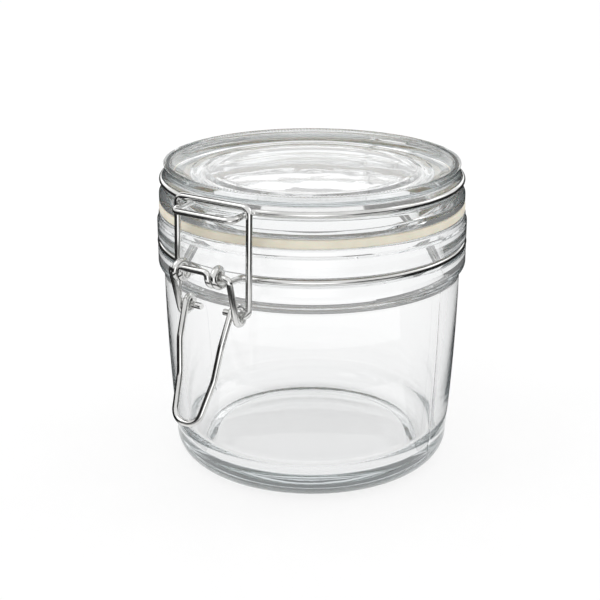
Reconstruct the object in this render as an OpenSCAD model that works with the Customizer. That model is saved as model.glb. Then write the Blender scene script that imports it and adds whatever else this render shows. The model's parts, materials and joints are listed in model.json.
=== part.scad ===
// Clip-top glass canister: a pressed glass jar and lid with a rubber seal, held shut by four bent wires.
// Millimetres, +Z up. The origin is on the jar's axis, on the surface that the jar stands on.
// The clamp faces -Y and the lid's hinge is at +Y. Radii that belong together are steps in from the collar.

/* [Jar] */
// Height of the sealing lip above the table
jar_h = 81.7; // [66:0.1:120]
// Outside radius of the collar, the widest glass
collar_r = 48.9; // [40:0.1:62]
// How far the body just below the collar is set in from it
body_set = 1.8; // [0.8:0.1:4]
// How far the body narrows from there down to the foot
body_taper = 2.5; // [0:0.1:4]
// How far the side bulges out between the two
body_bulge = 0.5; // [0:0.1:1]
// Radius of the rounded foot
foot_round = 7.5; // [4:0.5:10]
// Width of the flat ring that the jar stands on
foot_flat = 1.1; // [0.8:0.1:3]
// Height of the push-up under the floor
push_up = 1.6; // [0.5:0.1:2.5]
// Run of the slope that leads up to the push-up
push_run = 4; // [2:0.5:8]
// Thickness of the side wall
wall = 3.2; // [2.4:0.1:4]
// Thickness of the floor above the push-up
floor_t = 4.4; // [3:0.1:7]
// Radius of the round corner inside, at the floor
inner_round = 9; // [5:0.5:12]
// Thickness of the glass at the mouth, from the collar's outside
neck_t = 6.9; // [5:0.1:8]

/* [Collar] */
// Height of the collar, from its lower edge to the lip groove
collar_h = 14.5; // [13.9:0.1:20]
// Height of the shoulder that leads out to the collar
shoulder_h = 2.6; // [1:0.1:5]
// Height of the sealing lip above its fine groove
lip_h = 2.2; // [1.5:0.1:4]
// How far the lip is set in from the collar
lip_set = 0.5; // [0.2:0.1:1.5]
// Depth of the fine groove under the lip
lip_groove = 0.5; // [0.2:0.1:1]
// Rounding of the lip's outer edge
lip_round = 0.8; // [0.3:0.1:1]
// Rounding of the mouth's inner edge
mouth_edge = 1; // [0.5:0.1:1.5]

/* [Lid] */
// How far the lid's flange is set in from the collar
flange_set = 0.8; // [0:0.1:2]
// Thickness of the flange at its edge
flange_t = 2.9; // [2:0.1:3.4]
// Height of the lid's rim above the underside of the flange
lid_h = 12.3; // [11:0.1:16]
// How far the bulge above the wire is set in from the collar
bulge_set = 2; // [1.4:0.1:2.6]
// How far the waist below the rim is set in from the collar
waist_set = 4; // [3:0.1:5]
// How far the rim's crest is set in from the collar
rim_set = 3.3; // [2.6:0.1:4]
// Width of the rim
rim_w = 1.8; // [1.4:0.1:3]
// Depth of the top panel below the rim
panel_depth = 3; // [1.5:0.1:3.4]
// Width of the level ring between the rim and the raised round
panel_ring = 5.4; // [4:0.1:15]
// Height of the raised round
panel_step = 0.5; // [0.2:0.1:1]
// Thickness of the lid under the top panel
lid_t = 4.2; // [3:0.1:6]
// How far the plug ring stands in from the mouth
plug_clear = 2.5; // [2:0.1:4]
// Thickness of the plug ring
plug_t = 4.2; // [3:0.1:6]
// How far the plug ring reaches below the flange
plug_drop = 6; // [4:0.1:7]
// Bevel of the plug ring's lower edges
plug_bevel = 1; // [0.5:0.1:1.4]

/* [Rubber seal] */
// Thickness of the seal
seal_t = 2.9; // [2:0.1:4]
// How far the seal's edge is set in from the collar
seal_set = 0.7; // [0:0.1:2]

/* [Wires] */
// Diameter of every wire
wire_d = 2; // [1.6:0.1:2.2]
// Bend radius of the wires' plain corners
bend_r = 2.2; // [1.6:0.1:2.6]
// Height of the neck wire below the lip
neck_wire_drop = 9.7; // [8.5:0.1:12]
// Height of the lid wire above the underside of the flange
lid_wire_up = 7.1; // [6.5:0.1:7.5]
// How far the hinge bar at the back stands behind the neck wire's ring
hinge_out = 5.5; // [5.2:0.1:7]
// Half the distance between the two lid wire eyes at the back
eye_half = 8; // [6:0.1:10]
// Gap between a lid wire eye and the end of the hinge bar
eye_gap = 2.5; // [2.4:0.1:5]
// Gap between a wire and the coil that turns on it
coil_clear = 0.5; // [0.3:0.05:0.6]
// Gap between two turns of one coil
turn_clear = 0.3; // [0.2:0.05:0.4]

/* [Clamp] */
// Half the width of the bail
bail_half = 13; // [12:0.1:16]
// Gap between the bail's top bar and the lid's flange, measured outward
bail_gap = 1.2; // [0.8:0.1:2]
// Gap between the bail's top bar and the nose under it
catch_gap = 0.5; // [0.4:0.05:1]
// How far the bail's foot stands out from under its top bar
bail_lean = 1; // [0:0.1:2]
// Sideways gap between the bail and the nose, and between the bail and the lever's arms
bail_side_gap = 0.5; // [0.4:0.05:0.8]
// How far the nose's front bar stands out from the bail's top bar
nose_reach = 5.3; // [4.8:0.1:5.6]
// How far the nose's front bar dips below the lid wire
nose_dip = 0.6; // [0.5:0.1:1]
// How far the lever's pivot stands out from the bail's foot, which makes the clamp lock
over_centre = 5.8; // [5:0.1:6.2]
// Height of the lever's pivot above the bail's foot
foot_drop = 12.6; // [12:0.1:14]
// Gap between the lever's arms and the neck wire's eyelets
arm_gap = 0.8; // [0.5:0.05:1]
// Outward place of the handle's first knee, from the bail's foot
knee_out = 6.3; // [5:0.1:8]
// Drop of the first knee below the bail's foot
knee_drop = 8.5; // [7:0.1:11]
// Outward place of the handle's second knee, from the bail's foot
waist_out = 8.2; // [7:0.1:10]
// Drop of the second knee below the bail's foot
waist_drop = 18.5; // [16:0.1:21]
// Outward place of the handle's end, from the bail's foot
tip_out = 14.1; // [11:0.1:17]
// Drop of the handle's end below the bail's foot
tip_drop = 31; // [28:0.1:36]
// Half the width of the handle at its first knee
knee_half = 7.6; // [7:0.1:8.4]
// Half the width of the handle at its second knee
waist_half = 6.3; // [5.5:0.1:7]
// Half the width of the handle at its end
tip_half = 4.3; // [3.8:0.1:5]

/* [Hidden] */
$fn = 96;

glass_colour = [0.82, 0.90, 0.89, 0.45];
rubber_colour = [0.90, 0.86, 0.76];
steel_colour = [0.74, 0.75, 0.77];

arc_steps = 6;       // straight pieces in a quarter round of a glass outline
side_steps = 6;      // straight pieces in the jar's barrelled side
seat_gap = 0.1;      // the seal stands this far off the jar's lip
grip_gap = 0.1;      // the seal's hole is this much larger than the plug ring
groove_gap = 0.15;   // a glass groove is this much larger than its wire
neck_nest = 0.9;     // the neck wire's centre line lies this far inside the collar's face
pivot_lift = 0.1;    // the lever's pivot stands this much higher than a turn above the neck wire
panel_bevel = 1.6;   // run of the sloped edge round the raised round
rim_slope = 4.9;     // run of the slope from the top panel up to the rim
fine = 0.8;          // height of the small steps that lead into the lid's wire groove
wire_lap = 0.15;     // how far each straight runs into the bend beside it
bend_fat = 0.02;     // how much thicker a bend's section is, so that a straight ends inside it
shortest = 0.04;     // half of the shortest straight between two bends of one coil or ring
tight_r = 1.4;       // bend radius where two bends lie close together
loop_open = 0.6;     // how far the end of a hinge eye runs past its last turn
run_in = 3.6;        // straight run from a ring's arc to the bend where the wire leaves it
pin_reach = 3;       // how far a lever pin runs in from the inner turn of its coil
foot_reach = 2;      // how far a bail foot runs in from the inner face of the lever's coil
bar_share = 1.25;    // turns an eyelet steps inwards before it becomes the bar between them
eyelet_corners = 5;  // enclosing corners of an eyelet's turn and a quarter
coil_corners = 4;    // enclosing corners of the lever's coil
eye_corners = 3;     // enclosing corners of a hinge eye
ring_corners = 2;    // enclosing corners of half a ring
knee_r = 8;          // bend radius at the handle's knee
waist_bend_r = 12;   // bend radius at the handle's waist
cut_over = 1;        // how far a cutting shape runs past the face it opens

body_r = collar_r - body_set;
body_low_r = body_r - body_taper;
lip_r = collar_r - lip_set;
mouth_r = collar_r - neck_t;
plug_r = mouth_r - plug_clear;
seal_r = collar_r - seal_set;
flange_r = collar_r - flange_set;
bulge_r = collar_r - bulge_set;
waist_r = collar_r - waist_set;
rim_r = collar_r - rim_set;
neck_wire_r = collar_r - neck_nest;
lid_wire_r = bulge_r;                             // its centre line runs on the bulge's face

flange_z = jar_h + seat_gap + seal_t;
rim_z = flange_z + lid_h;
neck_wire_z = jar_h - neck_wire_drop;
lid_wire_z = flange_z + lid_wire_up;
collar_low_z = jar_h - lip_h - collar_h;
body_top_z = collar_low_z - shoulder_h;

coil_r = wire_d + coil_clear;                     // centre line radius of every coil and eye
turn_step = wire_d + turn_clear;                  // sideways step of one full turn
hinge_y = neck_wire_r + hinge_out;
hinge_half = eye_half + wire_d + eye_gap;
nose_half = bail_half - wire_d - bail_side_gap;
arm_half = nose_half;
eyelet_half = arm_half - wire_d - arm_gap;        // outer turn of the neck wire's eyelets
leg_half = arm_half - turn_step;                  // inner turn of the lever's coils
bail_out = flange_r + wire_d / 2 + bail_gap;
foot_out = bail_out + bail_lean;
nose_out = bail_out + nose_reach;
pivot_out = foot_out + over_centre;
pivot_z = neck_wire_z + coil_r + pivot_lift;
foot_z = pivot_z - foot_drop;
bail_top_z = lid_wire_z + wire_d + catch_gap;

OUT = [0, -1, 0];
BACK = [0, 1, 0];
UP = [0, 0, 1];
SIDE = [1, 0, 0];

// ---- outlines -------------------------------------------------------------------------------

// Points along a round outline corner, from angle a0 to angle a1.
function arc(c, r, a0, a1) =
    [for (i = [0 : arc_steps]) let (a = a0 + (a1 - a0) * i / arc_steps) c + r * [cos(a), sin(a)]];

// Outside radius of the barrelled side, s from 0 at the foot to 1 at the shoulder.
function side_r(s) = body_low_r + (body_r - body_low_r) * s + 4 * body_bulge * s * (1 - s);

// The side's points from the foot upward, moved inward by the given thickness.
function side(z0, z1, inset) =
    [for (i = [0 : side_steps]) let (s = i / side_steps) [side_r(s) - inset, z0 + (z1 - z0) * s]];

// The side's points from the shoulder down.
function side_down(z0, z1, inset) = let (p = side(z0, z1, inset)) [for (i = [side_steps : -1 : 0]) p[i]];

// ---- wires ----------------------------------------------------------------------------------

function unit(v) = v / norm(v);

// Corners of the polygon that encloses an arc of radius r about c, in the plane of directions u and v.
// The arc runs from angle a0 to a1 in n equal steps, while the place moves sideways by w.
function turns(c, u, v, r, a0, a1, n, w = [0, 0, 0]) =
    [for (i = [0 : n - 1])
        let (step = (a1 - a0) / n, a = a0 + (i + 0.5) * step, d = r / cos(step / 2))
        c + d * cos(a) * u + d * sin(a) * v + w * (i + 0.5) / n];

function repeat(value, n) = [for (i = [1 : n]) value];

function mirrored(points) = [for (i = [len(points) - 1 : -1 : 0]) [-points[i].x, points[i].y, points[i].z]];

function reversed(list) = [for (i = [len(list) - 1 : -1 : 0]) list[i]];

// Distance from a corner to the ends of its bend.
function bend_cut(a, p, b, r) =
    let (half = acos(max(-1, min(1, unit(a - p) * unit(b - p)))) / 2) r / tan(half);

// A straight round wire from p to q.
module straight(p, q) {
    axis = unit(q - p);
    side_dir = unit(cross(axis, abs(axis.z) < 0.9 ? [0, 0, 1] : [1, 0, 0]));
    up_dir = cross(axis, side_dir);
    multmatrix([[side_dir.x, up_dir.x, axis.x, p.x],
                [side_dir.y, up_dir.y, axis.y, p.y],
                [side_dir.z, up_dir.z, axis.z, p.z],
                [0, 0, 0, 1]])
        cylinder(h = norm(q - p), d = wire_d);
}

// The round bend of radius r at corner p, between the straights that lead to a and to b.
module bend(a, p, b, r) {
    to_a = unit(a - p);
    to_b = unit(b - p);
    cut = bend_cut(a, p, b, r);
    centre = p + unit(to_a + to_b) * norm([r, cut]);
    x_dir = unit(p + to_a * cut - centre);
    z_dir = unit(cross(x_dir, p + to_b * cut - centre));
    y_dir = cross(z_dir, x_dir);
    angle = 180 - acos(to_a * to_b);
    multmatrix([[x_dir.x, y_dir.x, z_dir.x, centre.x],
                [x_dir.y, y_dir.y, z_dir.y, centre.y],
                [x_dir.z, y_dir.z, z_dir.z, centre.z],
                [0, 0, 0, 1]])
        rotate_extrude(angle = angle)
            translate([r, 0])
                circle(d = wire_d + bend_fat);
}

// A bent wire through the points. radii gives the bend at each point; an open wire's two ends take 0.
module wire(points, radii, closed = false) {
    n = len(points);
    cut = [for (i = [0 : n - 1])
        radii[i] == 0 ? 0 : bend_cut(points[(i + n - 1) % n], points[i], points[(i + 1) % n], radii[i])];
    for (i = [0 : closed ? n - 1 : n - 2]) {
        j = (i + 1) % n;
        way = unit(points[j] - points[i]);
        lap_i = radii[i] == 0 ? 0 : wire_lap;
        lap_j = radii[j] == 0 ? 0 : wire_lap;
        straight(points[i] + way * (cut[i] - lap_i), points[j] - way * (cut[j] - lap_j));
    }
    for (i = [0 : n - 1])
        if (radii[i] > 0)
            bend(points[(i + n - 1) % n], points[i], points[(i + 1) % n], radii[i]);
}

// Place on the tangent of a ring of radius r that touches it at angle a from -Y, at sideways place t.
function leave(r, a, t, z) = [t, -(r - t * sin(a)) / cos(a), z];

// Corners that carry a ring wire of radius r from angle a0 to angle a1, both measured from -Y.
function ring(r, a0, a1, z) = turns([0, 0, z], OUT, SIDE, r, a0, a1, ring_corners);

// ---- sub-parts ------------------------------------------------------------------------------

// Cut section of a round-bottomed groove whose wire runs at the origin, open outwards over a depth.
module wire_groove(depth) {
    groove_d = wire_d + bend_fat + 2 * groove_gap;
    circle(d = groove_d);
    translate([0, -groove_d / 2]) square([depth, groove_d]);
}

module glass_jar() {
    floor_z = push_up + floor_t;
    foot_arc_r = body_low_r - foot_round;
    outline = concat(
        [[0, push_up], [foot_arc_r - foot_flat - push_run, push_up], [foot_arc_r - foot_flat, 0]],
        arc([foot_arc_r, foot_round], foot_round, -90, 0),
        side(foot_round + fine, body_top_z, 0),
        [[collar_r, collar_low_z], [collar_r, jar_h - lip_h - lip_groove],
         [collar_r - lip_groove, jar_h - lip_h], [lip_r, jar_h - lip_h + lip_groove / 2]],
        arc([lip_r - lip_round, jar_h - lip_round], lip_round, 0, 90),
        arc([mouth_r + mouth_edge, jar_h - mouth_edge], mouth_edge, 90, 180),
        [[mouth_r, collar_low_z]],
        side_down(floor_z + inner_round, body_top_z, wall),
        arc([body_low_r - wall - inner_round, floor_z + inner_round], inner_round, 0, -90),
        [[0, floor_z]]);
    color(glass_colour)
        rotate_extrude()
            difference() {
                polygon(outline);
                translate([neck_wire_r, neck_wire_z]) wire_groove(collar_r - neck_wire_r + cut_over);
            }
}

module neck_wire() {
    eyelet = [eyelet_half, -pivot_out, pivot_z];
    front_angle = asin((eyelet_half + run_in) / neck_wire_r);
    back_angle = 180 - asin((hinge_half + run_in) / neck_wire_r);
    bar_t = eyelet_half - turn_step * bar_share;
    half = concat(
        [[hinge_half, hinge_y, neck_wire_z],
         leave(neck_wire_r, back_angle, hinge_half, neck_wire_z)],
        reversed(ring(neck_wire_r, front_angle, back_angle, neck_wire_z)),
        [leave(neck_wire_r, front_angle, eyelet_half, neck_wire_z)],
        turns(eyelet, OUT, UP, coil_r, -90, 360, eyelet_corners, (bar_t - eyelet_half) * SIDE),
        [[bar_t, -(pivot_out + coil_r), pivot_z + tight_r + turn_clear]]);
    radii = concat([bend_r, tight_r], repeat(neck_wire_r - shortest, ring_corners), [tight_r],
        repeat(coil_r - shortest, eyelet_corners), [tight_r]);
    color(steel_colour)
        wire(concat(half, mirrored(half)), concat(radii, reversed(radii)), closed = true);
}

module glass_lid() {
    panel_z = rim_z - panel_depth;
    crest = rim_w / 2;
    panel_r = rim_r - rim_w - rim_slope;
    outline = concat(
        [[0, panel_z + panel_step], [panel_r - panel_ring - panel_bevel, panel_z + panel_step],
         [panel_r - panel_ring, panel_z], [panel_r, panel_z], [rim_r - rim_w, rim_z - crest]],
        arc([rim_r - crest, rim_z - crest], crest, 180, 0),
        [[waist_r, panel_z], [bulge_r, lid_wire_z + wire_d / 2], [bulge_r, flange_z + flange_t + fine],
         [flange_r, flange_z + flange_t], [flange_r, flange_z],
         [plug_r, flange_z], [plug_r, flange_z - plug_drop + plug_bevel],
         [plug_r - plug_bevel, flange_z - plug_drop],
         [plug_r - plug_t + plug_bevel, flange_z - plug_drop],
         [plug_r - plug_t, flange_z - plug_drop + plug_bevel],
         [plug_r - plug_t - plug_bevel, panel_z - lid_t], [0, panel_z - lid_t]]);
    color(glass_colour)
        rotate_extrude()
            difference() {
                polygon(outline);
                translate([lid_wire_r, lid_wire_z]) wire_groove(flange_r - lid_wire_r);
            }
}

module rubber_seal() {
    color(rubber_colour)
        translate([0, 0, jar_h + seat_gap])
            difference() {
                cylinder(h = seal_t, r = seal_r);
                translate([0, 0, -cut_over])
                    cylinder(h = seal_t + 2 * cut_over, r = plug_r + grip_gap);
            }
}

module lid_wire() {
    front_angle = asin((nose_half + run_in) / lid_wire_r);
    back_angle = 180 - asin((eye_half + run_in) / lid_wire_r);
    half = concat(
        [[nose_half, -nose_out, lid_wire_z - nose_dip],
         leave(lid_wire_r, front_angle, nose_half, lid_wire_z)],
        ring(lid_wire_r, front_angle, back_angle, lid_wire_z),
        [leave(lid_wire_r, back_angle, eye_half, lid_wire_z),
         [eye_half, hinge_y - coil_r, lid_wire_z]],
        turns([eye_half, hinge_y, neck_wire_z], BACK, UP, coil_r, 180, 450, eye_corners),
        [[eye_half, hinge_y - loop_open, neck_wire_z + coil_r]]);
    radii = concat([bend_r, bend_r], repeat(lid_wire_r - shortest, ring_corners), [tight_r, tight_r],
        repeat(coil_r - shortest, eye_corners), [0]);
    color(steel_colour)
        wire(concat(mirrored(half), half), concat(reversed(radii), radii));
}

module lever_handle() {
    foot = [arm_half, -foot_out, foot_z];
    arm_turn = atan2(foot_drop, over_centre) - acos(coil_r / norm([over_centre, foot_drop]));
    leg_turn = acos(coil_r / norm([knee_out, knee_drop])) - atan2(knee_drop, knee_out);
    half = concat(
        [[leg_half - pin_reach, -pivot_out, pivot_z], [arm_half, -pivot_out, pivot_z]],
        turns(foot, OUT, UP, coil_r, arm_turn, leg_turn - 360, coil_corners,
            (leg_half - arm_half) * SIDE),
        [[knee_half, -foot_out - knee_out, foot_z - knee_drop],
         [waist_half, -foot_out - waist_out, foot_z - waist_drop],
         [tip_half, -foot_out - tip_out, foot_z - tip_drop]]);
    radii = concat([0, tight_r], repeat(coil_r - shortest, coil_corners),
        [knee_r, waist_bend_r, tip_half - shortest]);
    color(steel_colour)
        wire(concat(half, mirrored(half)), concat(radii, reversed(radii)));
}

module closing_bail() {
    half = [[leg_half - wire_d - foot_reach, -foot_out, foot_z], [bail_half, -foot_out, foot_z],
            [bail_half, -bail_out, bail_top_z]];
    radii = [0, bend_r, bend_r];
    color(steel_colour)
        wire(concat(half, mirrored(half)), concat(radii, reversed(radii)));
}

glass_jar();
neck_wire();
glass_lid();
rubber_seal();
lid_wire();
lever_handle();
closing_bail();
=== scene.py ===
"""A clip-top glass canister: pressed glass jar and hinged lid, rubber seal and a bent-wire clamp.

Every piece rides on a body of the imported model. The jar, lid and seal are turned outlines, and the
wires are swept along their bent centre lines. Sizes are in metres, +Z is up, and the clamp faces -Y.
"""
import json
import logging
import math
from dataclasses import dataclass, field
from enum import Enum
from typing import Optional, Sequence

import bpy
from mathutils import Matrix, Vector


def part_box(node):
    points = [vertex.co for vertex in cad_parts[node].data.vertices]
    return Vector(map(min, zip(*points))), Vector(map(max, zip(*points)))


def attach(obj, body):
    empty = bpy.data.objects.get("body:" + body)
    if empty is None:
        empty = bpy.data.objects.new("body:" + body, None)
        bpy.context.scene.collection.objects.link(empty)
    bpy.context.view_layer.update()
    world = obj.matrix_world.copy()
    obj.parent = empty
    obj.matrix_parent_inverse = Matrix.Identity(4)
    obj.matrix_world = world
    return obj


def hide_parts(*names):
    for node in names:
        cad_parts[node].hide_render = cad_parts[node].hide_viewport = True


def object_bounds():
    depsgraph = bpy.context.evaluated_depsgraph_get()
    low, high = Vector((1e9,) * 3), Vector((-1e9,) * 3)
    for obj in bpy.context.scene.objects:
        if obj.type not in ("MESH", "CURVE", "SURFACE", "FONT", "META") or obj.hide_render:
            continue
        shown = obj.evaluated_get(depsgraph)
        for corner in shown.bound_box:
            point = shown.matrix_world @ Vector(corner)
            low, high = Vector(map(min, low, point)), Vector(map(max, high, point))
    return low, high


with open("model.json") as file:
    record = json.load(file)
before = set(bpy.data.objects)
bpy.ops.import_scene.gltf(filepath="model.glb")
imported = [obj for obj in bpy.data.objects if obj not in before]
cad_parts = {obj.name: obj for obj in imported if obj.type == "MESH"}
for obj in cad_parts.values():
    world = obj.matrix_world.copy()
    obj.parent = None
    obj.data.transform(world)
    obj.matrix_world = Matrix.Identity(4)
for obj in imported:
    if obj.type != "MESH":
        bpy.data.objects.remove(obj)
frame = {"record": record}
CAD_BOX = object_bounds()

MM = 0.001
LOG = logging.getLogger("canister")

Outline = list[tuple[float, float]]
OutlineCorner = tuple[float, float, float]


# ---- shared shape helpers -------------------------------------------------------------------


def joint_place(name: str) -> Vector:
    """Return the point on a hinge's axis.

    Args:
        name: The joint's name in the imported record.

    Returns:
        The point in metres.
    """
    joints = frame["record"]["behaviour"]["joints"]
    return Vector(next(joint["pos_m"] for joint in joints if joint["name"] == name))


def turned_corner(before: Vector, corner: Vector, after: Vector, radius: float, step: float) -> list[Vector]:
    """Replace a corner by points on the round bend that touches both of its sides.

    Args:
        before: The point ahead of the corner.
        corner: The corner itself.
        after: The point past the corner.
        radius: The bend radius of the line.
        step: The largest turn between two points, in radians.

    Returns:
        The bend's points in order, or the corner alone where nothing turns.
    """
    to_before = (before - corner).normalized()
    to_after = (after - corner).normalized()
    turn = math.pi - to_before.angle(to_after)
    if radius <= 0 or turn < 1e-4:
        return [corner.copy()]
    cut = radius * math.tan(turn / 2)
    centre = corner + (to_before + to_after).normalized() * math.hypot(radius, cut)
    start = corner + to_before * cut - centre
    axis = start.cross(corner + to_after * cut - centre).normalized()
    count = max(2, math.ceil(turn / step))
    return [centre + Matrix.Rotation(turn * i / count, 3, axis) @ start for i in range(count + 1)]


def rounded_outline(corners: Sequence[OutlineCorner], step: float = math.radians(9)) -> Outline:
    """Round each corner of a turned piece's outline.

    Args:
        corners: Radius, height and rounding of each corner, in metres.
        step: The largest turn between two points, in radians.

    Returns:
        The outline's points as radius and height.
    """
    flat = [Vector((r, 0, z)) for r, z, _ in corners]
    points: Outline = []
    for i, (place, corner) in enumerate(zip(flat, corners)):
        inner = 0 < i < len(flat) - 1 and corner[2] > 0
        bend = turned_corner(flat[i - 1], place, flat[i + 1], corner[2], step) if inner else [place]
        points += [(p.x, p.z) for p in bend]
    return points


def turned_mesh(name: str, outline: Outline, angles: Sequence[float], closed: bool) -> bpy.types.Mesh:
    """Turn an outline round the Z axis into a closed mesh.

    Args:
        name: The mesh's name.
        outline: Radius and height of each point, anticlockwise as seen with the axis on the left.
        angles: The angles of the rows, in radians.
        closed: True for a ring's outline, False for one that starts and ends on the axis.

    Returns:
        The mesh, smooth shaded, with its faces outwards.
    """
    rows = len(angles)
    inner = outline if closed else outline[1:-1]
    verts = [(r * math.sin(a), -r * math.cos(a), z) for r, z in inner for a in angles]
    faces: list[tuple[int, ...]] = []
    spans = len(inner) if closed else len(inner) - 1
    for i in range(spans):
        low, high = i * rows, ((i + 1) % len(inner)) * rows
        for j in range(rows):
            k = (j + 1) % rows
            faces.append((low + j, low + k, high + k, high + j))
    if not closed:
        first, last = len(verts), len(verts) + 1
        verts += [(0, 0, outline[0][1]), (0, 0, outline[-1][1])]
        top = (len(inner) - 1) * rows
        faces += [(first, (j + 1) % rows, j) for j in range(rows)]
        faces += [(last, top + j, top + (j + 1) % rows) for j in range(rows)]
    mesh = bpy.data.meshes.new(name)
    mesh.from_pydata(verts, [], faces)
    mesh.shade_smooth()
    return mesh


def add_piece(name: str, mesh: bpy.types.Mesh, body: str, slot: str, *nodes: str) -> bpy.types.Object:
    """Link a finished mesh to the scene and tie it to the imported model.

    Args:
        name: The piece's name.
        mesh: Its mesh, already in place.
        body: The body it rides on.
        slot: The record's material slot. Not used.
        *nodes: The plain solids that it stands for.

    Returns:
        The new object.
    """
    piece = bpy.data.objects.new(name, mesh)
    bpy.context.scene.collection.objects.link(piece)
    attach(piece, body)
    if nodes:
        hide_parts(*nodes)
    LOG.info("%s: %d faces on %s", name, len(mesh.polygons), body)
    return piece


# ---- node trees -----------------------------------------------------------------------------


class ShapeTree:
    """A small builder for one Geometry Nodes tree with named inputs."""

    def __init__(self, name: str) -> None:
        """Start an empty tree with a geometry input and output."""
        self.tree = bpy.data.node_groups.new(name, "GeometryNodeTree")
        face = self.tree.interface
        face.new_socket("Geometry", in_out="INPUT", socket_type="NodeSocketGeometry")
        face.new_socket("Geometry", in_out="OUTPUT", socket_type="NodeSocketGeometry")
        self.inputs: dict[str, str] = {}
        self.entry = self.tree.nodes.new("NodeGroupInput")
        self.exit = self.tree.nodes.new("NodeGroupOutput")

    def number(self, name: str, whole: bool = False) -> None:
        """Add a named number input, whole or not."""
        kind = "NodeSocketInt" if whole else "NodeSocketFloat"
        self.inputs[name] = self.tree.interface.new_socket(name, in_out="INPUT", socket_type=kind).identifier

    def material(self, name: str) -> None:
        """Add a named material input."""
        socket = self.tree.interface.new_socket(name, in_out="INPUT", socket_type="NodeSocketMaterial")
        self.inputs[name] = socket.identifier

    def node(self, kind: str, links: Optional[dict[int, object]] = None,
             **settings: object) -> bpy.types.Node:
        """Add a node, set its properties and fill its inputs.

        Args:
            kind: The node's type.
            links: Input index to an output socket or a plain value.
            **settings: Properties of the node.

        Returns:
            The node.
        """
        made = self.tree.nodes.new(kind)
        for key, value in settings.items():
            setattr(made, key, value)
        for index, value in (links or {}).items():
            if isinstance(value, bpy.types.NodeSocket):
                self.tree.links.new(value, made.inputs[index])
            else:
                made.inputs[index].default_value = value
        return made

    def math(self, operation: str, *values: object) -> bpy.types.NodeSocket:
        """Add a Math node on sockets or numbers and return its output."""
        return self.node("ShaderNodeMath", dict(enumerate(values)), operation=operation).outputs[0]

    def length(self, a: bpy.types.NodeSocket, b: bpy.types.NodeSocket) -> bpy.types.NodeSocket:
        """Return the length of a flat vector from its two parts."""
        squares = self.math("ADD", self.math("MULTIPLY", a, a), self.math("MULTIPLY", b, b))
        return self.math("SQRT", squares)

    def value(self, name: str) -> bpy.types.NodeSocket:
        """Return the group input's socket of that name."""
        return self.entry.outputs[name]

    def finish(self, geometry: bpy.types.NodeSocket) -> None:
        """End the tree in Realize Instances and Set Material."""
        whole = self.node("GeometryNodeRealizeInstances", {0: geometry})
        dressed = self.node("GeometryNodeSetMaterial", {0: whole.outputs[0], 2: self.value("Material")})
        self.tree.links.new(dressed.outputs[0], self.exit.inputs[0])

    def raise_skin(self, height: bpy.types.NodeSocket) -> None:
        """Move the surface out along its normals by a height and end the tree."""
        normal = self.node("GeometryNodeInputNormal").outputs[0]
        offset = self.node("ShaderNodeVectorMath", {0: normal, 3: height}, operation="SCALE").outputs[0]
        moved = self.node("GeometryNodeSetPosition", {0: self.value("Geometry")})
        self.tree.links.new(offset, moved.inputs["Offset"])
        self.finish(moved.outputs[0])

    def bake(self, source: bpy.types.Mesh, name: str, **values: object) -> bpy.types.Mesh:
        """Run the tree on a mesh and return the result as a plain mesh.

        Args:
            source: The mesh that the tree works on.
            name: The new mesh's name.
            **values: Input values, with an underscore for each space in the input's name.

        Returns:
            The plain mesh.
        """
        holder = bpy.data.objects.new(name + "_draft", source)
        bpy.context.scene.collection.objects.link(holder)
        modifier = holder.modifiers.new("Shape", "NODES")
        modifier.node_group = self.tree
        for key, value in values.items():
            modifier[self.inputs[key.replace("_", " ")]] = value
        graph = bpy.context.evaluated_depsgraph_get()
        result = bpy.data.meshes.new_from_object(
            holder.evaluated_get(graph), preserve_all_data_layers=True, depsgraph=graph
        )
        holder.modifiers.remove(modifier)
        bpy.data.objects.remove(holder)
        result.name = name
        return result


def swept_wire_tree() -> ShapeTree:
    """Build the tree that sweeps a round wire along a line of edges.

    Returns:
        The tree. It stores each point's place round and along the wire for the drawn-wire finish.
    """
    tree = ShapeTree("SweptWire")
    tree.number("Wire Radius")
    tree.number("Sides", whole=True)
    tree.material("Material")
    line = tree.node("GeometryNodeMeshToCurve", {0: tree.value("Geometry")})
    length = tree.node("GeometryNodeSplineParameter").outputs["Length"]
    named = tree.node("GeometryNodeStoreNamedAttribute", data_type="FLOAT", domain="POINT")
    named.inputs["Name"].default_value = "along"
    tree.tree.links.new(line.outputs[0], named.inputs["Geometry"])
    tree.tree.links.new(length, named.inputs["Value"])
    ring = tree.node("GeometryNodeCurvePrimitiveCircle", mode="RADIUS")
    tree.tree.links.new(tree.value("Sides"), ring.inputs["Resolution"])
    tree.tree.links.new(tree.value("Wire Radius"), ring.inputs["Radius"])
    spot = tree.node("GeometryNodeInputPosition").outputs[0]
    unit = tree.node("ShaderNodeVectorMath", {0: spot}, operation="NORMALIZE").outputs[0]
    around = tree.node("GeometryNodeStoreNamedAttribute", data_type="FLOAT_VECTOR", domain="POINT")
    around.inputs["Name"].default_value = "around"
    tree.tree.links.new(ring.outputs[0], around.inputs["Geometry"])
    tree.tree.links.new(unit, around.inputs["Value"])
    sweep = tree.node("GeometryNodeCurveToMesh")
    tree.tree.links.new(named.outputs[0], sweep.inputs["Curve"])
    tree.tree.links.new(around.outputs[0], sweep.inputs["Profile Curve"])
    sweep.inputs["Fill Caps"].default_value = True
    tree.finish(sweep.outputs[0])
    return tree


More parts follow.
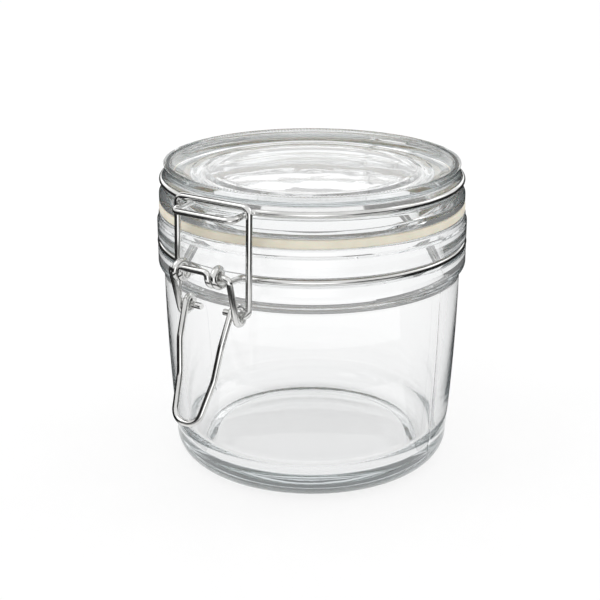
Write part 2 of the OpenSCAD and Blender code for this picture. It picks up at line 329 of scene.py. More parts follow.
def knurled_rim_tree() -> ShapeTree:
    """Build the tree that raises a row of fine beads along the lid's rim.

    Returns:
        The tree. A bead is a bump in the rim's own surface, so the glass stays one closed skin.
    """
    tree = ShapeTree("KnurledRim")
    tree.number("Bead Count", whole=True)
    tree.number("Bead Height")
    tree.number("Crest Radius")
    tree.number("Crest Height")
    tree.number("Band Radius")
    tree.material("Material")
    spot = tree.node("GeometryNodeInputPosition").outputs[0]
    split = tree.node("ShaderNodeSeparateXYZ", {0: spot})
    x, y, z = split.outputs
    radius = tree.length(x, y)
    angle = tree.math("ARCTAN2", x, y)
    wave = tree.math("COSINE", tree.math("MULTIPLY", angle, tree.value("Bead Count")))
    bead = tree.math("POWER", tree.math("MULTIPLY", tree.math("ADD", wave, 1.0), 0.5), 1.5)
    out = tree.math("SUBTRACT", radius, tree.value("Crest Radius"))
    rise = tree.math("SUBTRACT", z, tree.value("Crest Height"))
    away = tree.length(out, rise)
    near = tree.math("SUBTRACT", 1.0, tree.math("DIVIDE", away, tree.value("Band Radius")))
    near = tree.math("MULTIPLY", tree.math("MAXIMUM", near, 0.0), 1.6)
    near = tree.math("MINIMUM", near, 1.0)
    height = tree.math("MULTIPLY", tree.math("MULTIPLY", bead, near), tree.value("Bead Height"))
    tree.raise_skin(height)
    return tree


def mould_seam_tree() -> ShapeTree:
    """Build the tree that raises the two fine mould seams on the outside of the jar.

    Returns:
        The tree. The seams stand where the mould's halves met, to the jar's left and right.
    """
    tree = ShapeTree("MouldSeam")
    tree.number("Seam Height")
    tree.number("Seam Width")
    tree.number("Skin Radius")
    tree.number("Top")
    tree.material("Material")
    spot = tree.node("GeometryNodeInputPosition").outputs[0]
    x, y, z = tree.node("ShaderNodeSeparateXYZ", {0: spot}).outputs
    across = tree.math("DIVIDE", y, tree.value("Seam Width"))
    fall = tree.math("POWER", tree.math("ABSOLUTE", across), 4.0)
    ridge = tree.math("DIVIDE", 1.0, tree.math("ADD", 1.0, fall))
    radius = tree.length(x, y)
    outside = tree.math("GREATER_THAN", radius, tree.value("Skin Radius"))
    below = tree.math("LESS_THAN", z, tree.value("Top"))
    height = tree.math("MULTIPLY", tree.math("MULTIPLY", ridge, tree.value("Seam Height")), outside)
    height = tree.math("MULTIPLY", height, below)
    tree.raise_skin(height)
    return tree


# ---- finishes -------------------------------------------------------------------------------


class Shader:
    """A material's nodes, with short calls for the few kinds that the finishes use."""

    def __init__(self, name: str) -> None:
        """Start a material with one Principled shader."""
        self.material = bpy.data.materials.new(name)
        self.material.use_nodes = True
        self.nodes = self.material.node_tree.nodes
        self.links = self.material.node_tree.links
        self.nodes.clear()
        self.out = self.nodes.new("ShaderNodeOutputMaterial")
        self.skin = self.nodes.new("ShaderNodeBsdfPrincipled")
        self.links.new(self.skin.outputs[0], self.out.inputs["Surface"])

    def set(self, **values: object) -> None:
        """Set the shader's own sockets, with an underscore for each space."""
        for key, value in values.items():
            self.skin.inputs[key.replace("_", " ")].default_value = value

    def object_place(self, stretch: tuple[float, float, float] = (1, 1, 1)) -> bpy.types.NodeSocket:
        """Return the point on the piece, stretched along each axis."""
        place = self.nodes.new("ShaderNodeTexCoord").outputs["Object"]
        mapping = self.nodes.new("ShaderNodeMapping")
        mapping.inputs["Scale"].default_value = stretch
        self.links.new(place, mapping.inputs[0])
        return mapping.outputs[0]

    def noise(self, place: bpy.types.NodeSocket, scale: float, detail: float = 3.0) -> bpy.types.NodeSocket:
        """Return a noise pattern's value at a place.

        Args:
            place: The coordinates.
            scale: Cells in a metre.
            detail: Octaves.

        Returns:
            The value socket, about 0 to 1.
        """
        made = self.nodes.new("ShaderNodeTexNoise")
        made.inputs["Scale"].default_value = scale
        made.inputs["Detail"].default_value = detail
        self.links.new(place, made.inputs["Vector"])
        return made.outputs[0]

    def spread(self, value: bpy.types.NodeSocket, low: float, high: float) -> bpy.types.NodeSocket:
        """Map a noise value's middle range onto low to high."""
        made = self.nodes.new("ShaderNodeMapRange")
        made.inputs["From Min"].default_value = 0.3
        made.inputs["From Max"].default_value = 0.7
        made.inputs["To Min"].default_value = low
        made.inputs["To Max"].default_value = high
        self.links.new(value, made.inputs["Value"])
        return made.outputs[0]

    def tint(self, value: bpy.types.NodeSocket, low: Sequence[float], high: Sequence[float]) -> None:
        """Colour the skin between two colours by a value."""
        ramp = self.nodes.new("ShaderNodeValToRGB")
        ramp.color_ramp.elements[0].position = 0.3
        ramp.color_ramp.elements[1].position = 0.7
        ramp.color_ramp.elements[0].color = (*low, 1)
        ramp.color_ramp.elements[1].color = (*high, 1)
        self.links.new(value, ramp.inputs[0])
        self.links.new(ramp.outputs[0], self.skin.inputs["Base Color"])

    def bump(self, *layers: tuple[bpy.types.NodeSocket, float]) -> None:
        """Stack bump layers, each a height pattern and the height that its full range stands for."""
        last: Optional[bpy.types.NodeSocket] = None
        for value, height in layers:
            made = self.nodes.new("ShaderNodeBump")
            made.inputs["Strength"].default_value = 1.0
            made.inputs["Distance"].default_value = height
            self.links.new(value, made.inputs["Height"])
            if last is not None:
                self.links.new(last, made.inputs["Normal"])
            last = made.outputs[0]
        self.links.new(last, self.skin.inputs["Normal"])


@dataclass(frozen=True)
class PressedGlass:
    """Clear soda glass as it leaves a press mould: fire polished, slightly uneven, green in depth."""

    name: str
    wave_height: float = 0.035 * MM
    wave_scale: float = 55.0
    ripple_height: float = 0.004 * MM
    ripple_scale: float = 420.0
    depth_colour: tuple[float, float, float] = (0.36, 0.47, 0.51)
    depth_density: float = 5.5

    def make(self) -> bpy.types.Material:
        """Build the material."""
        shader = Shader(self.name)
        shader.set(Base_Color=(1, 1, 1, 1), Metallic=0.0, IOR=1.5, Transmission_Weight=1.0)
        place = shader.object_place((1, 1, 0.5))
        wave = shader.noise(place, self.wave_scale, 1.0)
        ripple = shader.noise(shader.object_place(), self.ripple_scale, 2.0)
        shader.links.new(shader.spread(ripple, 0.0, 0.03), shader.skin.inputs["Roughness"])
        shader.bump((wave, self.wave_height), (ripple, self.ripple_height))
        depth = shader.nodes.new("ShaderNodeVolumeAbsorption")
        depth.inputs["Color"].default_value = (*self.depth_colour, 1)
        depth.inputs["Density"].default_value = self.depth_density
        shader.links.new(depth.outputs[0], shader.out.inputs["Volume"])
        return shader.material


@dataclass(frozen=True)
class MouldedRubber:
    """Cream moulded rubber: matt, faintly mottled and fine grained."""

    name: str
    light: tuple[float, float, float] = (0.80, 0.76, 0.64)
    deep: tuple[float, float, float] = (0.73, 0.68, 0.55)
    grain_height: float = 0.02 * MM

    def make(self) -> bpy.types.Material:
        """Build the material."""
        shader = Shader(self.name)
        shader.set(Metallic=0.0, Subsurface_Weight=0.15, Subsurface_Scale=0.001)
        place = shader.object_place()
        mottle = shader.noise(place, 160.0, 4.0)
        grain = shader.noise(place, 3200.0, 2.0)
        shader.tint(mottle, self.deep, self.light)
        shader.links.new(shader.spread(mottle, 0.5, 0.64), shader.skin.inputs["Roughness"])
        shader.bump((mottle, self.grain_height * 2), (grain, self.grain_height))
        return shader.material


@dataclass(frozen=True)
class DrawnWire:
    """Bright steel wire: fine streaks along its length and a few duller stretches."""

    name: str
    bright: tuple[float, float, float] = (0.80, 0.80, 0.79)
    dull: tuple[float, float, float] = (0.66, 0.66, 0.65)
    streak_height: float = 0.003 * MM

    def make(self) -> bpy.types.Material:
        """Build the material."""
        shader = Shader(self.name)
        shader.set(Metallic=1.0)
        around = shader.nodes.new("ShaderNodeAttribute")
        around.attribute_name = "around"
        along = shader.nodes.new("ShaderNodeAttribute")
        along.attribute_name = "along"
        lift = shader.nodes.new("ShaderNodeCombineXYZ")
        slow = shader.nodes.new("ShaderNodeMath")
        slow.operation = "MULTIPLY"
        slow.inputs[1].default_value = 25.0
        shader.links.new(along.outputs["Fac"], slow.inputs[0])
        shader.links.new(slow.outputs[0], lift.inputs["Z"])
        place = shader.nodes.new("ShaderNodeVectorMath")
        place.operation = "ADD"
        shader.links.new(around.outputs["Vector"], place.inputs[0])
        shader.links.new(lift.outputs[0], place.inputs[1])
        streak = shader.noise(place.outputs[0], 9.0, 3.0)
        patch = shader.noise(shader.object_place(), 130.0, 2.0)
        shader.tint(patch, self.dull, self.bright)
        shader.links.new(shader.spread(streak, 0.09, 0.20), shader.skin.inputs["Roughness"])
        shader.bump((streak, self.streak_height))
        return shader.material


@dataclass(frozen=True)
class OpalTable:
    """The white opal sheet that the canister stands on, softly lit from below."""

    name: str
    white: float = 0.22
    glow: float = 0.79

    def make(self) -> bpy.types.Material:
        """Build the material."""
        shader = Shader(self.name)
        shader.set(Roughness=0.9, Specular_IOR_Level=0.1)
        shader.set(Emission_Color=(1, 1, 1, 1), Emission_Strength=self.glow)
        cloud = shader.noise(shader.object_place(), 40.0, 3.0)
        tone = self.white - 0.01
        shader.tint(cloud, (tone, tone, tone), (self.white, self.white, self.white))
        return shader.material


class Seen(Enum):
    """Which rays a stage card shows to."""

    GLOSS = "reflections only"
    GLASS = "through glass only"


@dataclass(frozen=True)
class StageCard:
    """A plain card beside the set, dark or lit, that may fade towards its ends."""

    name: str
    tone: float = 0.012
    glow: float = 0.0
    seen: Seen = Seen.GLOSS
    soft: bool = False

    def make(self) -> bpy.types.Material:
        """Build the material."""
        shader = Shader(self.name)
        shader.set(Base_Color=(self.tone, self.tone, self.tone, 1), Roughness=1.0, Specular_IOR_Level=0.0)
        shader.set(Emission_Color=(1, 1, 1, 1), Emission_Strength=self.glow)
        if self.soft:
            fade = shader.nodes.new("ShaderNodeAttribute")
            fade.attribute_name = "fade"
            light = shader.nodes.new("ShaderNodeMath")
            light.operation = "MULTIPLY"
            light.inputs[1].default_value = self.glow
            shader.links.new(fade.outputs["Fac"], light.inputs[0])
            shader.links.new(light.outputs[0], shader.skin.inputs["Emission Strength"])
        return shader.material


class Side(Enum):
    """The two mirrored halves of a wire."""

    LEFT = -1
    RIGHT = 1


# ---- wires ----------------------------------------------------------------------------------


@dataclass
class BentWire:
    """A round wire through corner points, each with its own bend radius."""

    points: list[Vector] = field(default_factory=list)
    radii: list[float] = field(default_factory=list)

    def to(self, point: Sequence[float], radius: float) -> "BentWire":
        """Add one corner and return the wire."""
        self.points.append(Vector(point))
        self.radii.append(radius)
        return self

    def turn(self, centre: Vector, u: Vector, v: Vector, radius: float, start: float, end: float, count: int,
             slip: Vector = Vector()) -> "BentWire":
        """Add the corners that carry the wire round an arc.

        Args:
            centre: The arc's centre at its start.
            u: The direction of angle 0.
            v: The direction of a quarter turn.
            radius: The centre line's radius.
            start: The first angle, in degrees.
            end: The last angle, in degrees.
            count: The number of corners.
            slip: How far the centre moves over the whole arc.

        Returns:
            The wire.
        """
        step = math.radians(end - start) / count
        reach = radius / math.cos(step / 2)
        for i in range(count):
            angle = math.radians(start) + (i + 0.5) * step
            spot = centre + u * (reach * math.cos(angle)) + v * (reach * math.sin(angle))
            self.to(spot + slip * ((i + 0.5) / count), radius - 0.02 * MM)
        return self

    def mirrored(self) -> "BentWire":
        """Return the wire's other half, from its last corner back to its first."""
        flipped = [Vector((Side.LEFT.value * p.x, p.y, p.z)) for p in reversed(self.points)]
        return BentWire(flipped, list(reversed(self.radii)))

    def joined(self, other: "BentWire") -> "BentWire":
        """Return this wire followed by another."""
        return BentWire(self.points + other.points, self.radii + other.radii)

    def centre_line(self, closed: bool) -> list[Vector]:
        """Return the points of the bent centre line."""
        count = len(self.points)
        line: list[Vector] = []
        for i in range(count):
            step = math.radians(3) if self.radii[i] > 10 * MM else math.radians(11)
            if closed or 0 < i < count - 1:
                before, after = self.points[i - 1], self.points[(i + 1) % count]
                line += turned_corner(before, self.points[i], after, self.radii[i], step)
            else:
                line.append(self.points[i].copy())
        return line

    def guide(self, name: str, closed: bool) -> bpy.types.Mesh:
        """Return the centre line as a mesh of edges."""
        line = self.centre_line(closed)
        edges = [(i, i + 1) for i in range(len(line) - 1)]
        if closed:
            edges.append((len(line) - 1, 0))
        mesh = bpy.data.meshes.new(name)
        mesh.from_pydata(line, edges, [])
        return mesh


OUT = Vector((0, -1, 0))
BACK = Vector((0, 1, 0))
UP = Vector((0, 0, 1))
ASIDE = Vector((1, 0, 0))


# ---- the canister's pieces ------------------------------------------------------------------


def even_angles(count: int) -> list[float]:
    """Return evenly spaced angles round a full turn."""
    return [2 * math.pi * i / count for i in range(count)]


def seam_angles(count: int, fine: float = 0.0012) -> list[float]:
    """Return evenly spaced angles with close extra rows beside the two mould seams.

    Args:
        count: The number of even rows.
        fine: The spacing of the extra rows, in radians.

    Returns:
        The angles in rising order.
    """
    seams = (math.pi / 2, 3 * math.pi / 2)
    extra = [seam + fine * (step + 0.5) for seam in seams for step in range(-8, 8)]
    reach = fine * 9
    plain = [a for a in even_angles(count) if all(abs(a - seam) > reach for seam in seams)]
    return sorted(plain + extra)


@dataclass
class GlassJar:
    """The pressed jar: rounded foot, barrelled side, collar with its wire groove, and sealing lip."""

    glass: bpy.types.Material
    tree: ShapeTree
    body_set: float = 1.8 * MM
    body_taper: float = 2.5 * MM
    body_bulge: float = 0.5 * MM
    foot_round: float = 7.5 * MM
    wall: float = 3.2 * MM
    floor_top: float = 6.0 * MM
    push_up: float = 1.6 * MM
    neck: float = 6.9 * MM
    collar_height: float = 14.5 * MM
    shoulder: float = 2.6 * MM
    lip_height: float = 2.2 * MM
    lip_set: float = 0.5 * MM
    groove_depth: float = 2.0 * MM
    groove_half: float = 1.45 * MM
    groove_drop: float = 9.7 * MM
    seam_height: float = 0.06 * MM
    seam_width: float = 0.34 * MM

    def side(self, low_r: float, high_r: float, low: float, high: float) -> list[OutlineCorner]:
        """Return the barrelled side's points from low to high."""
        corners: list[OutlineCorner] = []
        for i in range(13):
            s = i / 12
            radius = low_r + (high_r - low_r) * s + 4 * self.body_bulge * s * (1 - s)
            corners.append((radius, low + (high - low) * s, 0))
        return corners

    def outline(self) -> Outline:
        """Return the whole glass outline, from the push-up's middle round to the floor's middle."""
        low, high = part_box("glass_jar")
        top, collar = high[2], high[0]
        body = collar - self.body_set
        foot = body - self.body_taper
        collar_low = top - self.lip_height - self.collar_height
        body_top = collar_low - self.shoulder
        mouth = collar - self.neck
        lip = collar - self.lip_set
        seat = top - self.groove_drop
        groove = collar - self.groove_depth
        flat = foot - self.foot_round
        corners: list[OutlineCorner] = [
            (0, self.push_up, 0), (flat - 5.5 * MM, self.push_up, 2 * MM), (flat - 1.2 * MM, low[2], 1 * MM),
            (foot, low[2], self.foot_round), (foot, self.foot_round + 0.2 * MM, 0),
            *self.side(foot, body, self.foot_round + 0.8 * MM, body_top - 1.5 * MM),
            (body + 0.1 * MM, body_top + 0.5 * MM, 3.5 * MM), (collar, collar_low, 2.2 * MM),
            (collar, seat - self.groove_half, 0.35 * MM), (groove, seat - 1.15 * MM, 0.95 * MM),
            (groove, seat + 1.15 * MM, 0.95 * MM), (collar, seat + self.groove_half, 0.35 * MM),
            (collar, top - self.lip_height - 0.5 * MM, 0.35 * MM),
            (lip - 0.15 * MM, top - self.lip_height, 0.2 * MM),
            (lip, top - self.lip_height + 0.5 * MM, 0.2 * MM), (lip, top, 0.8 * MM),
            (mouth, top, 1.2 * MM), (mouth, collar_low + 0.5 * MM, 4 * MM),
            (body - self.wall, body_top - 1 * MM, 4 * MM),
            *reversed(self.side(foot - self.wall, body - self.wall,
                                self.floor_top + 9.5 * MM, body_top - 3 * MM)),
            (foot - self.wall, self.floor_top, 9 * MM), (0, self.floor_top, 0),
        ]
        return rounded_outline(corners)

    def build(self) -> None:
        """Build the jar as one closed skin with its two mould seams."""
        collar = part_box("glass_jar")[1][0]
        plain = turned_mesh("jar_plain", self.outline(), seam_angles(288), closed=False)
        mesh = self.tree.bake(
            plain, "jar_glass", Seam_Height=self.seam_height, Seam_Width=self.seam_width,
            Skin_Radius=collar - self.body_set - self.body_taper - 0.6 * MM,
            Top=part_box("glass_jar")[1][2] - self.lip_height - self.collar_height - self.shoulder,
            Material=self.glass,
        )
        add_piece("jar_glass", mesh, "jar", "clear_glass", "glass_jar")


@dataclass
class GlassLid:
    """The pressed lid: flange, wire groove, beaded rim, stepped top panel and the plug ring below."""

    glass: bpy.types.Material
    tree: ShapeTree
    flange: float = 2.9 * MM
    bulge_set: float = 1.2 * MM
    waist_set: float = 3.2 * MM
    rim_set: float = 2.5 * MM
    rim_width: float = 1.8 * MM
    rim_slope: float = 4.9 * MM
    panel_depth: float = 3.0 * MM
    panel_ring: float = 5.4 * MM
    panel_step: float = 0.5 * MM
    lid_height: float = 12.3 * MM
    groove_rise: float = 7.1 * MM
    plug_outer: float = 8.6 * MM
    plug_thick: float = 4.2 * MM
    plug_drop: float = 6.0 * MM
    thickness: float = 4.2 * MM
    beads: int = 252
    bead_height: float = 0.32 * MM

    def top_side(self, edge: float, top: float) -> list[OutlineCorner]:
        """Return the corners from the rim's crest in to the middle of the top panel."""
        rim, panel = edge - self.rim_set, top - self.panel_depth
        ledge = rim - self.rim_width - self.rim_slope
        ring = ledge - self.panel_ring
        return [
            (rim - 0.05 * MM, top - 1.5 * MM, 0.5 * MM), (rim - 0.05 * MM, top - 0.25 * MM, 0.35 * MM),
            (rim - 0.55 * MM, top, 0.35 * MM), (rim - 1.2 * MM, top - 0.2 * MM, 0.5 * MM),
            (rim - self.rim_width, top - 0.95 * MM, 1.2 * MM),
            (ledge + 1.2 * MM, panel + 0.35 * MM, 4 * MM), (ledge - 0.6 * MM, panel - 0.1 * MM, 1.6 * MM),
            (ledge - 1.6 * MM, panel + 0.12 * MM, 1 * MM), (ledge - 2.8 * MM, panel - 0.06 * MM, 1 * MM),
            (ring + 1.1 * MM, panel, 1 * MM), (ring - 0.9 * MM, panel + self.panel_step, 1.4 * MM),
            (ring - 2.2 * MM, panel + 0.36 * MM, 1.2 * MM), (ring - 3.6 * MM, panel + 0.46 * MM, 2 * MM),
            (0, panel + self.panel_step, 0),
        ]

    def outline(self) -> Outline:
        """Return the whole glass outline, from the underside's middle round to the top's middle."""
        _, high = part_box("glass_lid")
        top, edge = high[2] - self.bead_height - 0.01 * MM, high[0]
        under = high[2] - self.lid_height
        panel = high[2] - self.panel_depth
        bulge, waist = edge - self.bulge_set, edge - self.waist_set
        groove = under + self.groove_rise
        plug = edge - self.plug_outer
        corners: list[OutlineCorner] = [
            (0, panel - self.thickness, 0),
            (plug - self.plug_thick - 1 * MM, panel - self.thickness, 1.5 * MM),
            (plug - self.plug_thick, under - self.plug_drop, 1.2 * MM),
            (plug, under - self.plug_drop, 1.2 * MM),
            (plug, under, 0.5 * MM), (edge, under, 0.7 * MM), (edge, under + self.flange, 1.5 * MM),
            (bulge + 0.05 * MM, groove - 2.0 * MM, 1.5 * MM),
            (bulge, groove - 1.35 * MM, 0.3 * MM), (bulge - 1.15 * MM, groove - 1.1 * MM, 0.95 * MM),
            (bulge - 1.15 * MM, groove + 1.1 * MM, 0.95 * MM),
            (bulge - 0.25 * MM, groove + 1.3 * MM, 0.35 * MM),
            (waist + 0.1 * MM, panel + 0.3 * MM, 3 * MM),
        ]
        return rounded_outline(corners + self.top_side(edge, top), math.radians(15))

    def build(self) -> None:
        """Build the lid as one closed skin with its row of beads."""
        _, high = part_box("glass_lid")
        rows = even_angles(self.beads * 3)
        plain = turned_mesh("lid_plain", self.outline(), rows, closed=False)
        mesh = self.tree.bake(
            plain, "lid_glass", Bead_Count=self.beads, Bead_Height=self.bead_height,
            Crest_Radius=high[0] - self.rim_set - 0.5 * MM, Crest_Height=high[2] - 0.4 * MM,
            Band_Radius=0.85 * MM, Material=self.glass,
        )
        add_piece("lid_glass", mesh, "lid", "lid_glass", "glass_lid")


@dataclass
class RubberSeal:
    """The moulded seal: a flat ring with rounded edges."""

    rubber: bpy.types.Material
    edge_round: float = 0.7 * MM

    def build(self) -> None:
        """Build the ring."""
        low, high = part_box("rubber_seal")
        outer, inner = high[0], high[0] - 8.6 * MM
        bottom, top = low[2] + 0.02 * MM, high[2] - 0.02 * MM
        middle = (bottom + top) / 2
        corners: list[OutlineCorner] = [
            (inner, middle, 0), (inner, bottom, self.edge_round), (outer - 2.2 * MM, bottom, 0.4 * MM),
            (outer, bottom, self.edge_round), (outer, middle, 0),
            (outer, top, self.edge_round), (outer - 2.2 * MM, top, 0.4 * MM),
            (inner, top, self.edge_round),
        ]
        mesh = turned_mesh("seal_ring", rounded_outline(corners), even_angles(288), closed=True)
        mesh.materials.append(self.rubber)
        add_piece("seal_ring", mesh, "lid", "cream_rubber", "rubber_seal")


@dataclass
class WireClamp:
    """The four bent wires: neck ring, lid ring, lever handle and closing bail."""

    steel: bpy.types.Material
    tree: ShapeTree
    wire: float = 2.0 * MM
    coil: float = 2.5 * MM
    step: float = 2.3 * MM
    plain_bend: float = 2.2 * MM
    tight_bend: float = 1.4 * MM
    run_in: float = 3.6 * MM
    eye_half: float = 8.0 * MM
    hinge_half: float = 12.5 * MM
    nose_half: float = 10.5 * MM
    nose_reach: float = 5.3 * MM
    nose_dip: float = 0.6 * MM
    eyelet_half: float = 7.7 * MM
    arm_half: float = 10.5 * MM
    bail_half: float = 13.0 * MM
    bail_lean: float = 1.0 * MM
    pin_reach: float = 3.0 * MM
    foot_reach: float = 2.0 * MM
    bar_share: float = 1.25
    bar_rise: float = 0.3 * MM
    eye_end: float = 0.6 * MM
    knee_bend: float = 8 * MM
    waist_bend: float = 12 * MM
    trim: float = 0.005 * MM
    knee: tuple[float, float, float] = (7.6 * MM, 6.3 * MM, 8.5 * MM)
    waist: tuple[float, float, float] = (6.3 * MM, 8.2 * MM, 18.5 * MM)
    tip: tuple[float, float, float] = (4.3 * MM, 14.1 * MM, 31.0 * MM)
    sides: int = 20

    def __post_init__(self) -> None:
        """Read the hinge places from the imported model."""
        self.hinge = joint_place("lid_open")
        self.pivot = joint_place("lever_swing")
        self.foot = joint_place("bail_swing")
        self.neck_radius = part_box("neck_wire")[1][0] - self.wire / 2
        self.lid_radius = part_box("lid_wire")[1][0] - self.wire / 2
        self.lid_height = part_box("lid_wire")[1][2] - self.wire / 2
        self.leg_half = self.arm_half - self.step

    def leave(self, radius: float, angle: float, aside: float, height: float) -> Vector:
        """Return the point on a ring's tangent at an angle from the front, at a sideways place."""
        return Vector((aside, -(radius - aside * math.sin(angle)) / math.cos(angle), height))

    def sweep(self, name: str, bent: BentWire, closed: bool, body: str, node: str) -> None:
        """Sweep one wire and add it as a piece."""
        mesh = self.tree.bake(bent.guide(name + "_line", closed), name,
                              Wire_Radius=self.wire / 2 - self.trim, Sides=self.sides,
                              Material=self.steel)
        mesh.shade_smooth()
        add_piece(name, mesh, body, "steel_wire", node)

    def ring(self, bent: BentWire, radius: float, height: float, start: float, end: float) -> None:
        """Add a ring's half turn to a wire, by angles from the front in degrees."""
        centre = Vector((0, 0, height))
        bent.turn(centre, OUT, ASIDE, radius, start, end, 2)

    def neck(self) -> None:
        """Bend the neck wire: hinge bar, ring, two eyelets and the bar between them."""
        radius, height = self.neck_radius, self.hinge.z
        front = math.asin((self.eyelet_half + self.run_in) / radius)
        back = math.pi - math.asin((self.hinge_half + self.run_in) / radius)
        bar = self.eyelet_half - self.bar_share * self.step
        half = BentWire()
        half.to((self.hinge_half, self.hinge.y, height), self.plain_bend)
        half.to(self.leave(radius, back, self.hinge_half, height), self.tight_bend)
        self.ring(half, radius, height, math.degrees(back), math.degrees(front))
        half.to(self.leave(radius, front, self.eyelet_half, height), self.tight_bend)
        eyelet = Vector((self.eyelet_half, self.pivot.y, self.pivot.z))
        half.turn(eyelet, OUT, UP, self.coil, -90, 360, 5, ASIDE * (bar - self.eyelet_half))
        rise = self.pivot.z + self.tight_bend + self.bar_rise
        half.to((bar, self.pivot.y - self.coil, rise), self.tight_bend)
        self.sweep("neck_ring_wire", half.joined(half.mirrored()), True, "jar", "neck_wire")

    def lid(self) -> None:
        """Bend the lid wire: nose, ring and the two eyes round the hinge bar."""
        radius, height = self.lid_radius, self.lid_height
        front = math.asin((self.nose_half + self.run_in) / radius)
        back = math.pi - math.asin((self.eye_half + self.run_in) / radius)
        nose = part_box("lid_wire")[0][1] + self.wire / 2
        half = BentWire()
        half.to((self.nose_half, nose, height - self.nose_dip), self.plain_bend)
        half.to(self.leave(radius, front, self.nose_half, height), self.plain_bend)
        self.ring(half, radius, height, math.degrees(front), math.degrees(back))
        half.to(self.leave(radius, back, self.eye_half, height), self.tight_bend)
        half.to((self.eye_half, self.hinge.y - self.coil, height), self.tight_bend)
        eye = Vector((self.eye_half, self.hinge.y, self.hinge.z))
        half.turn(eye, BACK, UP, self.coil, 180, 450, 3)
        half.to((self.eye_half, self.hinge.y - self.eye_end, self.hinge.z + self.coil), 0)
        self.sweep("lid_ring_wire", half.mirrored().joined(half), False, "lid", "lid_wire")

    def lever(self) -> None:
        """Bend the lever: pins, arms, coils and the tapering handle."""
        drop, lean = self.pivot.z - self.foot.z, self.foot.y - self.pivot.y
        arm = math.degrees(math.atan2(drop, lean) - math.acos(self.coil / math.hypot(lean, drop)))
        _, knee_out, knee_drop = self.knee
        knee_slope = math.atan2(knee_drop, knee_out)
        leg = math.degrees(math.acos(self.coil / math.hypot(knee_out, knee_drop)) - knee_slope)
        half = BentWire()
        half.to((self.leg_half - self.pin_reach, self.pivot.y, self.pivot.z), 0)
        half.to((self.arm_half, self.pivot.y, self.pivot.z), self.tight_bend)
        foot = Vector((self.arm_half, self.foot.y, self.foot.z))
        half.turn(foot, OUT, UP, self.coil, arm, leg - 360, 4, ASIDE * (self.leg_half - self.arm_half))
        tip_bend = self.tip[0] - 0.02 * MM
        bends = (self.knee, self.knee_bend), (self.waist, self.waist_bend), (self.tip, tip_bend)
        for (aside, out, fall), radius in bends:
            half.to((aside, self.foot.y - out, self.foot.z - fall), radius)
        self.sweep("lever_wire", half.joined(half.mirrored()), False, "lever", "lever_handle")

    def bail(self) -> None:
        """Bend the bail: two feet, two legs and the top bar."""
        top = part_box("closing_bail")[1][2] - self.wire / 2
        half = BentWire()
        half.to((self.leg_half - self.wire - self.foot_reach, self.foot.y, self.foot.z), 0)
        half.to((self.bail_half, self.foot.y, self.foot.z), self.plain_bend)
        half.to((self.bail_half, self.foot.y + self.bail_lean, top), self.plain_bend)
        self.sweep("bail_wire", half.joined(half.mirrored()), False, "bail", "closing_bail")

    def build(self) -> None:
        """Bend all four wires."""
        self.neck()
        self.lid()
        self.lever()
        self.bail()


# ---- studio ---------------------------------------------------------------------------------


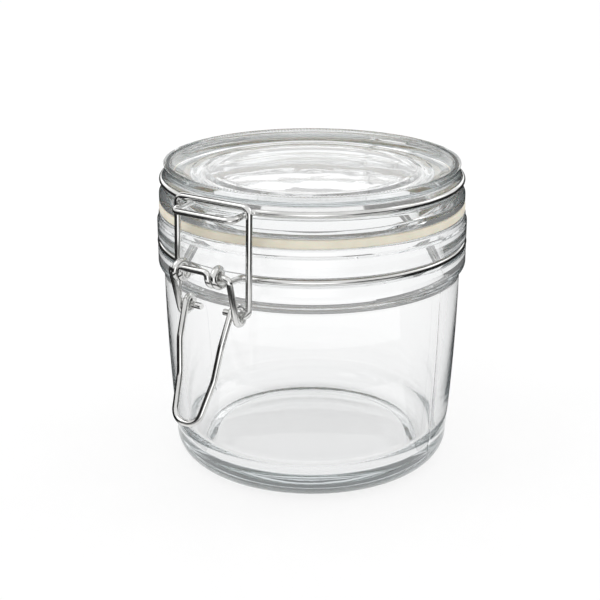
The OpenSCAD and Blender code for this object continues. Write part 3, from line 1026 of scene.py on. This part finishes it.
@dataclass
class Studio:
    """The glowing table, the soft boxes, the cards and the camera."""

    turn: float = math.radians(34.7)
    reach: float = 0.410
    height: float = 0.194
    aside: float = -0.0038
    pitch: float = math.radians(19.35)
    lens: float = 80.3
    bounces: int = 28
    key: float = 1.0
    fill: float = 0.7
    sky: float = 0.92
    sheen: float = 1.5
    gleam: float = 1.9
    gap: float = 32.0
    side_start: float = 62.0
    far_tone: float = 0.25
    far_height: float = 0.32
    far_radius: float = 0.62
    paper_reach: float = 30.0
    ring_lift: float = 0.0006
    front_ring: tuple[float, float] = (0.115, 0.16)
    side_ring: tuple[float, float] = (0.056, 0.24)
    high_span: tuple[float, float] = (110, 250)
    high_edges: tuple[tuple[float, float], ...] = ((0.9, 0.80), (0.75, 1.15))
    band_steps: int = 48
    wall_radius: float = 0.24
    wall_lift: float = 0.0005
    wall_height: float = 0.11

    def place(self, aside: float, away: float, height: float) -> Vector:
        """Return a place given across, away from the camera and up, about the jar's axis."""
        ahead = Vector((-math.sin(self.turn), math.cos(self.turn), 0))
        across = Vector((math.cos(self.turn), math.sin(self.turn), 0))
        return across * aside + ahead * away + UP * height

    def camera(self) -> None:
        """Set up the camera."""
        data = bpy.data.cameras.new("view")
        data.lens, data.sensor_width, data.clip_start = self.lens, 36, 0.01
        camera = bpy.data.objects.new("view", data)
        camera.location = self.place(self.aside, -self.reach, self.height)
        camera.rotation_euler = (math.pi / 2 - self.pitch, 0, self.turn)
        bpy.context.scene.collection.objects.link(camera)
        bpy.context.scene.camera = camera

    def floor(self) -> None:
        """Lay the table's sheet."""
        low = CAD_BOX[0][2]
        mesh = bpy.data.meshes.new("paper")
        reach = self.paper_reach
        corners = [(x * reach, y * reach, low) for x, y in ((-1, -1), (1, -1), (1, 1), (-1, 1))]
        mesh.from_pydata(corners, [], [(0, 1, 2, 3)])
        mesh.materials.append(OpalTable("opal_sheet").make())
        paper = bpy.data.objects.new("paper", mesh)
        bpy.context.scene.collection.objects.link(paper)

    def softbox(self, name: str, spot: Vector, size: tuple[float, float], power: float) -> None:
        """Hang one area light that faces the jar."""
        data = bpy.data.lights.new(name, "AREA")
        data.shape, data.size, data.size_y, data.energy = "RECTANGLE", size[0], size[1], power
        lamp = bpy.data.objects.new(name, data)
        lamp.location = spot
        lamp.rotation_euler = (Vector((0, 0, 0.05)) - spot).to_track_quat("-Z", "Y").to_euler()
        lamp.visible_camera = False
        bpy.context.scene.collection.objects.link(lamp)

    def card(self, finish: StageCard, points: list[Vector], faces: list[tuple[int, ...]],
             fades: Sequence[float] = ()) -> None:
        """Put up one card.

        Args:
            finish: Its finish, whose name it takes.
            points: Its corners.
            faces: Its faces.
            fades: How much of the glow each corner has, for a soft card.
        """
        mesh = bpy.data.meshes.new(finish.name)
        mesh.from_pydata(points, [], faces)
        if fades:
            mesh.attributes.new("fade", "FLOAT", "POINT").data.foreach_set("value", fades)
        mesh.materials.append(finish.make())
        card = bpy.data.objects.new(finish.name, mesh)
        bpy.context.scene.collection.objects.link(card)
        card.visible_camera = False
        card.visible_diffuse = False
        card.visible_shadow = False
        card.visible_glossy = finish.seen is Seen.GLOSS
        card.visible_transmission = finish.seen is Seen.GLASS

    def band(self, finish: StageCard, start: float, end: float, low: tuple[float, float],
             high: tuple[float, float]) -> None:
        """Put up one curved band round the jar.

        Args:
            finish: Its finish.
            start: Its first angle from the camera's side, in degrees.
            end: Its last angle.
            low: Its lower edge's radius and height.
            high: Its upper edge's radius and height.
        """
        shares = [i / self.band_steps for i in range(self.band_steps + 1)]
        turns = [math.radians(start + (end - start) * share) for share in shares]
        points = [self.place(r * math.sin(a), -r * math.cos(a), z) for a in turns for r, z in (low, high)]
        faces = [(2 * i, 2 * i + 1, 2 * i + 3, 2 * i + 2) for i in range(self.band_steps)]
        fades = [math.sin(math.pi * share) ** 2 for share in shares for _ in range(2)]
        self.card(finish, points, faces, fades)

    def bands(self) -> None:
        """Stand the low dark wall with its lit gap, the dark rings on the table and the far grey wall."""
        foot, head = (self.wall_radius, self.wall_lift), (self.wall_radius, self.wall_height)
        level = self.ring_lift
        near, mid, side, far = ((r, level) for r in (*self.front_ring, *self.side_ring))
        self.band(StageCard("low_wall"), self.gap, 360 - self.gap, foot, head)
        self.band(StageCard("front_glow", glow=self.gleam, soft=True), -self.gap, self.gap, foot, head)
        self.band(StageCard("table_front"), -self.side_start, self.side_start, near, mid)
        self.band(StageCard("table_sides"), self.side_start, 360 - self.side_start, side, far)
        self.band(StageCard("high_wall"), *self.high_span, *self.high_edges)
        grey = StageCard("far_wall", glow=self.far_tone, seen=Seen.GLASS)
        self.band(grey, 0, 360, (self.far_radius, 0.0), (self.far_radius, self.far_height))

    def back_card(self, aside: float, width: float, low: float, high: float) -> None:
        """Hang one lit card behind the jar, for the lid's top to show as a soft sheen."""
        corners = ((-1, low), (1, low), (1, high), (-1, high))
        points = [self.place(aside + side * width / 2, 1.5, z) for side, z in corners]
        self.card(StageCard("back_glow", glow=self.sheen), points, [(0, 1, 2, 3)])

    def build(self) -> None:
        """Light the scene and set the camera."""
        world = bpy.data.worlds.new("studio")
        world.use_nodes = True
        world.node_tree.nodes["Background"].inputs[0].default_value = (1, 1, 1, 1)
        world.node_tree.nodes["Background"].inputs[1].default_value = self.sky
        bpy.context.scene.world = world
        bpy.context.scene.view_settings.view_transform = "Standard"
        bpy.context.scene.cycles.max_bounces = self.bounces
        bpy.context.scene.cycles.transmission_bounces = self.bounces
        bpy.context.scene.cycles.glossy_bounces = self.bounces
        self.floor()
        self.softbox("key_box", self.place(-0.5, -0.1, 0.75), (0.5, 0.5), self.key)
        self.softbox("fill_box", self.place(0.6, 0.2, 0.6), (0.4, 0.6), self.fill)
        self.bands()
        self.back_card(0.0, 2.4, 0.34, 0.80)
        self.camera()


def main() -> None:
    """Build the canister, then its studio."""
    logging.basicConfig(level=logging.INFO, format="%(message)s")
    GlassJar(PressedGlass("jar_glass").make(), mould_seam_tree()).build()
    lid_glass = PressedGlass("lid_glass", wave_height=0.10 * MM, wave_scale=75.0)
    GlassLid(lid_glass.make(), knurled_rim_tree()).build()
    RubberSeal(MouldedRubber("cream_rubber").make()).build()
    WireClamp(DrawnWire("steel_wire").make(), swept_wire_tree()).build()
    Studio().build()


if __name__ == "__main__":
    main()
